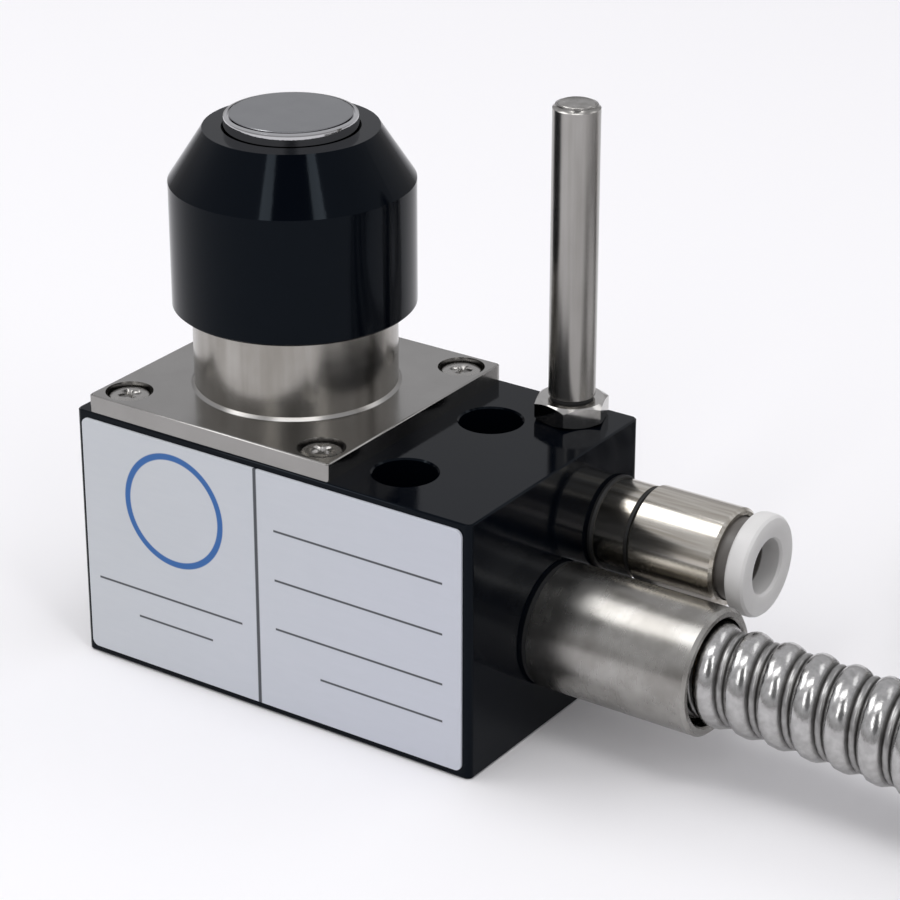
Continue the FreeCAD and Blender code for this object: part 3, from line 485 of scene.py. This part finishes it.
def narrow_rim(point, centre, half, corner, edge, new_corner, new_edge, levels):
    """Moves a point of a slab's rim so that its chamfer and upright corners are smaller.

    Each level is the height of a flat face and the way from it into the slab.
    """
    x, y, z = point
    near = 0.02
    inner = [size - corner for size in half]
    out = [
        max(abs(value - middle) - size, 0)
        for value, middle, size in zip((x, y), centre, inner)
    ]
    away = math.hypot(*out)
    target = new_corner if abs(away - corner) < near else None
    for level, inward in levels:
        if abs(z - level) < near and abs(away - corner + edge) < near:
            target = new_corner - new_edge
        if abs(z - level - inward * edge) < near and abs(away - corner) < near:
            z = level + inward * new_edge
    if target is None:
        return x, y, z
    moved = []
    for value, middle, size, step in zip((x, y), centre, half, out):
        side = 1 if value > middle else -1
        rim = middle + side * (size - new_corner + step / away * target)
        moved.append(rim if step > 0 else value)
    return moved[0], moved[1], z


# Housing. One block of aluminium, milled and bored, with a glossy black finish.
# Its rims are broken only slightly.
black_gloss = Finish("black_gloss", IOR=1.2, Specular_Tint=(0.72, 0.86, 1, 1))
mottle = black_gloss.noise(180, detail=4)
fine = black_gloss.noise(2500, detail=2)
black_gloss.set(
    Base_Color=black_gloss.blend(mottle, (0.0006, 0.0012, 0.0028), (0.0014, 0.0022, 0.0042)),
    Roughness=mottle * 0.04 + fine * 0.02 + 0.06,
)
black_gloss.bump(fine, 0.000003)


def block_rim(*point):
    """The block's rim: its corners of 1 mm stay and its 0.4 mm chamfer becomes 0.22 mm."""
    block_centre, block_half, block_top = (11, 0), (35.5, 22.25), 40.5
    faces = [(block_top, -1), (0, 1)]
    return narrow_rim(point, block_centre, block_half, 1.0, 0.4, 1.0, 0.22, faces)


block = reshaped("housing", "milled_block", block_rim)
fit(block, black_gloss, "black_block", "base", "housing")


# Label. A thin printed plate stuck to the front of the block, left without words:
# a plain ring in one field and ruled lines in the other.
label_print = Finish("label_print")
parts = label_print.add("ShaderNodeSeparateXYZ", {}, {"Vector": label_print.place})
x, z = parts.of("X"), parts.of("Z")
grain = label_print.noise(1400, stretch=(0.15, 1, 1), detail=3)
soft = label_print.noise(30, detail=2)
paper = label_print.blend(soft, (0.55, 0.575, 0.6), (0.62, 0.64, 0.67))
paper = label_print.blend((x - z * 0.5).rise(-0.035, 0.04), paper, (0.575, 0.595, 0.665))
paper = label_print.blend(grain * 0.35, paper, (0.5, 0.53, 0.58))
divider_x = 0.0092
ink = (x - divider_x).math("ABSOLUTE").fall(0.0002, 0.0004)
ruled = [
    (-0.021, 0.0062, 0.0135),
    (-0.0135, 0.0005, 0.009),
    (0.0125, 0.042, 0.0305),
    (0.0125, 0.042, 0.0225),
    (0.0125, 0.042, 0.0145),
    (0.0205, 0.042, 0.0085),
]
for start, end, line_z in ruled:
    half = (end - start) / 2
    rule = (z - line_z).math("ABSOLUTE").fall(0.0001, 0.00025)
    extent = (x - (start + end) / 2).math("ABSOLUTE").fall(half, half + 0.0001)
    ink = ink.math("MAXIMUM", rule * extent)
ring_radius = 0.0087
ring_x = x + 0.0061
ring_z = z - 0.0285
from_centre = (ring_x * ring_x + ring_z * ring_z).math("SQRT")
circle = (from_centre - ring_radius).math("ABSOLUTE").fall(0.0004, 0.0006)
color = label_print.blend(ink, paper, (0.05, 0.055, 0.065))
color = label_print.blend(circle, color, (0.01, 0.11, 0.36))
label_print.set(Base_Color=color, Roughness=grain * 0.15 + 0.3)
label_print.bump(grain, 0.000006)


plate = bmesh.new()
plate_corner = 1.1
corner_steps = 8
corner_centres = ((44.1, 38.4), (-22.1, 38.4), (-22.1, 2.3), (44.1, 2.3))
outline = []
for quarter, (middle_x, middle_z) in enumerate(corner_centres):
    for step in range(corner_steps + 1):
        angle = math.pi / 2 * (quarter + step / corner_steps)
        outline.append((middle_x, middle_z, math.cos(angle), math.sin(angle)))
loops = []
for inset, y in ((0, -22.25), (0, -22.59), (0.06, -22.65)):
    loop = []
    for middle_x, middle_z, across, rise in outline:
        corner = plate_corner - inset
        spot = Vector((middle_x + across * corner, y, middle_z + rise * corner))
        loop.append(plate.verts.new(spot / 1000))
    loops.append(loop)
for low, high in zip(loops, loops[1:]):
    for i in range(len(outline)):
        plate.faces.new((low[i - 1], low[i], high[i], high[i - 1]))
plate.faces.new(loops[0])
plate.faces.new(loops[-1])
bmesh.ops.recalc_face_normals(plate, faces=plate.faces)
label = finished(plate, "printed_label")
fit(label, label_print, "label", "base", "label_plate")


# Flange with its neck. Stainless steel, ground on the square flange and turned on
# the neck, where drawn-out stains run down the barrel.
flange_steel = Finish("flange_steel", Metallic=1.0)
height = flange_steel.add("ShaderNodeSeparateXYZ", {}, {"Vector": flange_steel.place}).of("Z")
on_neck = height.rise(0.0435, 0.0439)
cloud = flange_steel.noise(150, detail=5)
milled = flange_steel.noise(900, stretch=(0.08, 0.08, 1), detail=3)
down = flange_steel.noise(420, stretch=(1, 1, 0.06), detail=3)
broad = flange_steel.noise(130, stretch=(1, 1, 0.5), detail=4)
ground = flange_steel.blend(cloud, (0.275, 0.268, 0.257), (0.36, 0.352, 0.341))
stain = (down * 0.45 + broad * 0.55).rise(0.3, 0.7)
barrel = flange_steel.blend(stain, (0.27, 0.255, 0.23), (0.42, 0.405, 0.38))
flange_steel.set(
    Base_Color=flange_steel.blend(on_neck, ground, barrel),
    Roughness=cloud * 0.1 + milled * 0.06 + 0.13 + on_neck * (broad * 0.14 - 0.04),
)
flange_steel.bump(milled * (1 - on_neck) + down * on_neck, 0.000006)


def flange_rim(x, y, z):
    """The neck's wall and foot a little wider, and the flange's rim sharper."""
    radius = math.hypot(x, y)
    if z > 43.2 and 14.2 < radius < 15.8:
        new_radius = 14.7 if radius < 14.7 else 15.3 if radius < 15.2 else 15.78
        foot_z = min(z, 43.74) if z < 44 else z
        return x * new_radius / radius, y * new_radius / radius, foot_z
    flange_half, flange_top = (22, 22), 43.3
    faces = [(flange_top, -1)]
    return narrow_rim((x, y, z), (0, 0), flange_half, 1.0, 0.35, 0.45, 0.18, faces)


flange = reshaped("flange_neck", "ground_flange", flange_rim)
fit(flange, flange_steel, "flange_steel", "base", "flange_neck")


# Flange screws. Four cross-recessed pan heads of hardened steel, each stopped at
# its own angle in its counterbore.
screw_steel = Finish("screw_steel", Metallic=1.0)
scuff = screw_steel.noise(1500, detail=4)
screw_steel.set(
    Base_Color=screw_steel.blend(scuff, (0.3, 0.29, 0.275), (0.44, 0.43, 0.415)),
    Roughness=scuff * 0.16 + 0.2,
)
screw_steel.bump(scuff, 0.000005)


def turned(name, profile, centre=(0, 0, 0), along="Z", steps=96):
    """A turned piece from its outline of (radius, height) in millimetres.

    An outline that starts on the axis is closed there, any other on itself.
    """
    built = bmesh.new()
    rings = []
    for radius, height in profile:
        ring = []
        for i in range(steps if radius > 0 else 1):
            angle = 2 * math.pi * i / steps
            a, b = radius * math.cos(angle), radius * math.sin(angle)
            spot = Vector((height, a, b) if along == "X" else (a, b, height)) + Vector(centre)
            ring.append(built.verts.new(spot / 1000))
        rings.append(ring)
    pairs = list(zip(rings, rings[1:]))
    if profile[0][0] > 0:
        pairs.append((rings[-1], rings[0]))
    for low, high in pairs:
        for i in range(steps):
            j = i + 1
            corners = [low[i % len(low)], low[j % len(low)]]
            corners += [high[j % len(high)], high[i % len(high)]]
            corners = list(dict.fromkeys(corners))
            if len(corners) > 2:
                built.faces.new(corners)
    bmesh.ops.recalc_face_normals(built, faces=built.faces)
    return finished(built, name)


screw = turned("pan_screw", [
    (0, 32.4), (1.2, 32.4), (1.5, 32.7), (1.5, 41.4), (3.15, 41.4), (3.15, 42.3), (3.07, 42.54),
    (2.88, 42.72), (2.5, 42.84), (1.9, 42.9), (0, 42.92),
], steps=40)
recess = bmesh.new()
reach, wide = 2, 0.42
mouth_z, root_z = 0.0434, 0.0418
arms = [
    (reach, wide), (wide, wide), (wide, reach), (-wide, reach), (-wide, wide), (-reach, wide),
    (-reach, -wide), (-wide, -wide), (-wide, -reach), (wide, -reach), (wide, -wide), (reach, -wide),
]
mouth = [recess.verts.new((x / 1000, y / 1000, mouth_z)) for x, y in arms]
root = [recess.verts.new((x * 0.5 / 1000, y * 0.5 / 1000, root_z)) for x, y in arms]
recess.faces.new(mouth)
recess.faces.new(root)
for i in range(len(arms)):
    recess.faces.new((mouth[i - 1], mouth[i], root[i], root[i - 1]))
bmesh.ops.recalc_face_normals(recess, faces=recess.faces)
recess = finished(recess, "cross_recess")
cut = screw.modifiers.new("cross", "BOOLEAN")
cut.operation = "DIFFERENCE"
cut.solver = "EXACT"
cut.object = recess
bpy.context.view_layer.update()
cut_screw = screw.evaluated_get(bpy.context.evaluated_depsgraph_get())
cut_mesh = bpy.data.meshes.new_from_object(cut_screw)
screw.modifiers.remove(cut)
screw.data = cut_mesh
bpy.data.objects.remove(recess)

screw_sizes = {"Screw": screw, "Pitch": 0.0355, "Seed": 4}
tree, size = geometry_tree("screw_square", screw_sizes)
corners = add(tree, "GeometryNodeMeshGrid", {}, {
    "Size X": size["Pitch"], "Size Y": size["Pitch"], "Vertices X": 2, "Vertices Y": 2,
})
pattern = add(tree, "GeometryNodeObjectInfo", {"transform_space": "ORIGINAL"}, {
    "Object": size["Screw"],
})
largest_angle = 1.5
sockets = {"Max_001": largest_angle, "Seed": size["Seed"]}
stop = add(tree, "FunctionNodeRandomValue", {"data_type": "FLOAT"}, sockets, "Value_001")
stop = add(tree, "ShaderNodeCombineXYZ", {}, {"Z": stop})
placed = add(tree, "GeometryNodeInstanceOnPoints", {}, {
    "Points": corners, "Instance": pattern.of("Geometry"), "Rotation": stop,
})
finish_tree(tree, placed, screw_steel.material)
screws = grow("pan_screws", tree, screw_sizes, screw_steel.material)
bpy.data.objects.remove(screw)
fit(screws, screw_steel, "screw_steel", "base", "flange_screws")
coat(screw_steel, "cover_screws", "bracket_screws", "switch_nut")


# Chip guard. A turned black cap with a skirt and a steep cone. It slides over the
# neck with the contact pad.
coat(black_gloss, "chip_guard")


# Contact pad. A lapped hard disc with a fine groove just inside its broken rim.
lapped = Finish("lapped", Metallic=1.0)
swirl = lapped.noise(260, detail=5)
grit = lapped.noise(3000, detail=2)
height = lapped.add("ShaderNodeSeparateXYZ", {}, {"Vector": lapped.place}).of("Z")
on_top = height.rise(0.0852, 0.08528)
# Painted light: the top face is coloured dark and the side and rim light grey, though the disc is
# one piece of the same metal; the dark top is painted shade and the light rim a painted highlight.
top_color_painted_dark = lapped.blend(swirl, (0.19, 0.195, 0.205), (0.26, 0.265, 0.275))
lapped.set(
    Base_Color=lapped.blend(on_top, (0.5, 0.5, 0.51), top_color_painted_dark),
    Roughness=on_top * (swirl * 0.1 + grit * 0.05 + 0.07) + 0.03,
)
lapped.bump(grit, 0.000002)
pad = turned("lapped_pad", [
    (0, 81.8), (9.6, 81.8), (9.9, 82.1), (9.9, 84.74), (9.9, 84.82), (9.83, 85.03), (9.6, 85.14),
    (9.32, 85.16), (9.28, 84.8), (9.06, 84.8), (9.02, 85.24), (8.9, 85.3), (6, 85.3), (0, 85.3),
])
fit(pad, lapped, "pad_steel", "plunger", "contact_pad")
shaft_steel = Finish("shaft_steel", Metallic=1.0)
oil = shaft_steel.noise(500, detail=3)
shaft_steel.set(
    Base_Color=shaft_steel.blend(oil, (0.45, 0.45, 0.46), (0.55, 0.55, 0.56)),
    Roughness=oil * 0.1 + 0.14,
)
coat(shaft_steel, "plunger_shaft", "stop_ring", "return_spring", "switch_pin", "grip_collet")


# Air pipe. Drawn stainless tube, closed at its top, with a side nozzle. It stands on
# a thin locking nut over a relief, in which a black ring stands as painted shade.
pipe_steel = Finish("pipe_steel", Metallic=1.0)
draw_lines = pipe_steel.noise(700, stretch=(1, 1, 0.02), detail=4)
blots = pipe_steel.noise(160, stretch=(1, 1, 0.35), detail=4)
stain = (draw_lines * 0.65 + blots * 0.35).rise(0.3, 0.7)
pipe_steel.set(
    Base_Color=pipe_steel.blend(stain, (0.27, 0.26, 0.245), (0.41, 0.4, 0.385)),
    Roughness=draw_lines * 0.14 + blots * 0.08 + 0.14,
)
pipe_steel.bump(draw_lines, 0.000004)


pipe_x, pipe_y = 38, 17
pipe_radius, new_pipe_radius = 3.4, 3.5
pipe_growth = 1.1
bore_radius = 1.9
upper_half = 80
relief_top = 44


def longer_pipe(x, y, z):
    """The pipe taller and wider, with a broader round on its top and a lower foot."""
    away = math.hypot(x - pipe_x, y - pipe_y)
    if away < bore_radius and z < 88:
        return x, y, (z + pipe_growth if z > upper_half else z)
    reach, level = away, z
    if z > 88.1 and away > 1.5:
        reach, level = 2.45, 89.3
    elif z > 87.8 and away > 2.4:
        reach, level = 3.12, 89.02
    elif z > 87.2 and away > 3.2:
        reach, level = new_pipe_radius, 88.5
    elif relief_top < z < 44.8 and away > 3:
        reach, level = away * new_pipe_radius / pipe_radius, z - 0.38
    elif z > relief_top:
        reach = new_pipe_radius * away / pipe_radius
        level = z + pipe_growth if z > upper_half else z
    if away < 0.01:
        return x, y, z + pipe_growth
    return (
        pipe_x + (x - pipe_x) * reach / away,
        pipe_y + (y - pipe_y) * reach / away,
        level,
    )


pipe = reshaped("air_pipe", "drawn_pipe", longer_pipe)
fit(pipe, pipe_steel, "pipe_steel", "base", "air_pipe")
nut_steel = Finish("nut_steel", Metallic=1.0)
scratch = nut_steel.noise(900, detail=4)
nut_steel.set(
    Base_Color=nut_steel.blend(scratch, (0.38, 0.37, 0.355), (0.5, 0.49, 0.475)),
    Roughness=scratch * 0.1 + 0.08,
)
coat(nut_steel, "pipe_nut")


# Rubber pieces. Black seals, washers and the lead's sheath, and a black ring in the
# pipe's relief above its nut, put there as painted shade where the relief is in shade.
rubber = Finish("rubber")
dust = rubber.noise(800, detail=4)
rubber.set(
    Base_Color=rubber.blend(dust, (0.006, 0.006, 0.006), (0.016, 0.016, 0.017)),
    Roughness=dust * 0.2 + 0.5,
)
coat(rubber, "flange_seal", "guard_wiper", "fitting_oring", "tube_seal", "sleeve_seal")
coat(rubber, "signal_lead", "plug_insert")
# Painted shade: a black ring fills the pipe's relief, where there is only shade.
shade_ring_profile = [(2.6, 43.68), (3.2, 43.68), (3.2, 44.04), (2.6, 44.04)]
relief = turned("relief_ring", shade_ring_profile, (pipe_x, pipe_y, 0))
fit(relief, rubber, "black_rubber", "base")
fitting_axis = (0, 15.5, 26)
washer_profile = [(6.4, 46.48), (7.25, 46.48), (7.32, 46.9), (7.2, 47.3), (6.4, 47.3)]
washer = turned("fitting_washer", washer_profile, fitting_axis, "X")
fit(washer, rubber, "black_rubber", "base")


# Air fitting. Turned brass, nickel plated, with a white plastic ring that frees the
# tube when it is pushed in.
nickel = Finish("nickel", Metallic=1.0)
haze = nickel.noise(260, detail=4)
brushed = nickel.noise(1100, stretch=(0.04, 1, 1), detail=4)
nickel.set(
    Base_Color=nickel.blend(brushed.rise(0.3, 0.7), (0.42, 0.385, 0.33), (0.62, 0.595, 0.545)),
    Roughness=haze * 0.1 + brushed * 0.1 + 0.08,
)
nickel.bump(brushed, 0.000005)
coat(nickel, "fitting_base", "fitting_body", "plug_shell")
white_plastic = Finish("white_plastic")
flow = white_plastic.noise(300, detail=3)
outward = white_plastic.add("ShaderNodeSeparateXYZ", {}, {"Vector": white_plastic.place}).of("X")
# Painted shade: the ring's stem inside the body's rim is coloured dark brown-grey, though it is the
# same white plastic, standing in for the shade in that gap.
stem_painted_shade = white_plastic.blend(flow, (0.1, 0.092, 0.085), (0.15, 0.14, 0.13))
face = white_plastic.blend(flow, (0.69, 0.68, 0.67), (0.77, 0.76, 0.75))
white_plastic.set(
    Base_Color=white_plastic.blend(outward.rise(0.0693, 0.0696), stem_painted_shade, face),
    Roughness=flow * 0.1 + 0.32,
)
ring = turned("release_collar", [
    (4.2, 62.1), (5.67, 62.1), (5.67, 65.9), (6.2, 65.9), (6.2, 69.45), (7.1, 69.6), (7.6, 69.95),
    (7.75, 70.5), (7.75, 71.9), (7.62, 72.4), (7.3, 72.75), (6.9, 72.9), (4.9, 72.9), (4.45, 72.7),
    (4.2, 72.3),
], fitting_axis, "X")
fit(ring, white_plastic, "white_plastic", "release_ring", "release_ring")


# Cable sleeve and the ferrule at the conduit's far end. Turned stainless steel with a
# bead-blasted look.
sleeve_steel = Finish("sleeve_steel", Metallic=1.0)
turning = sleeve_steel.noise(1400, stretch=(1, 0.05, 0.05), detail=3)
patches = sleeve_steel.noise(150, detail=3)
sleeve_steel.set(
    Base_Color=sleeve_steel.blend(patches.rise(0.3, 0.7), (0.27, 0.26, 0.243), (0.4, 0.39, 0.372)),
    Roughness=patches * 0.16 + turning * 0.06 + 0.16,
)
sleeve_steel.bump(turning, 0.000004)
coat(sleeve_steel, "cable_sleeve", "end_ferrule")


# Inner metal pieces: bronze bush, ferrule and pins, the switch, its bracket and the
# cover under the block.
bronze = Finish("bronze", Metallic=1.0)
tarnish = bronze.noise(300, detail=4)
bronze.set(
    Base_Color=bronze.blend(tarnish, (0.5, 0.33, 0.15), (0.66, 0.46, 0.23)),
    Roughness=tarnish * 0.2 + 0.25,
)
coat(bronze, "guide_bush", "conduit_ferrule", "plug_pins")
plate_steel = Finish("plate_steel", Metallic=1.0)
rolled = plate_steel.noise(700, stretch=(0.05, 1, 1), detail=4)
smear = plate_steel.noise(60, detail=4)
plate_steel.set(
    Base_Color=plate_steel.blend(smear, (0.42, 0.42, 0.43), (0.54, 0.54, 0.55)),
    Roughness=rolled * 0.14 + smear * 0.1 + 0.18,
)
plate_steel.bump(rolled, 0.000005)
coat(plate_steel, "base_cover", "switch_body", "switch_bracket")
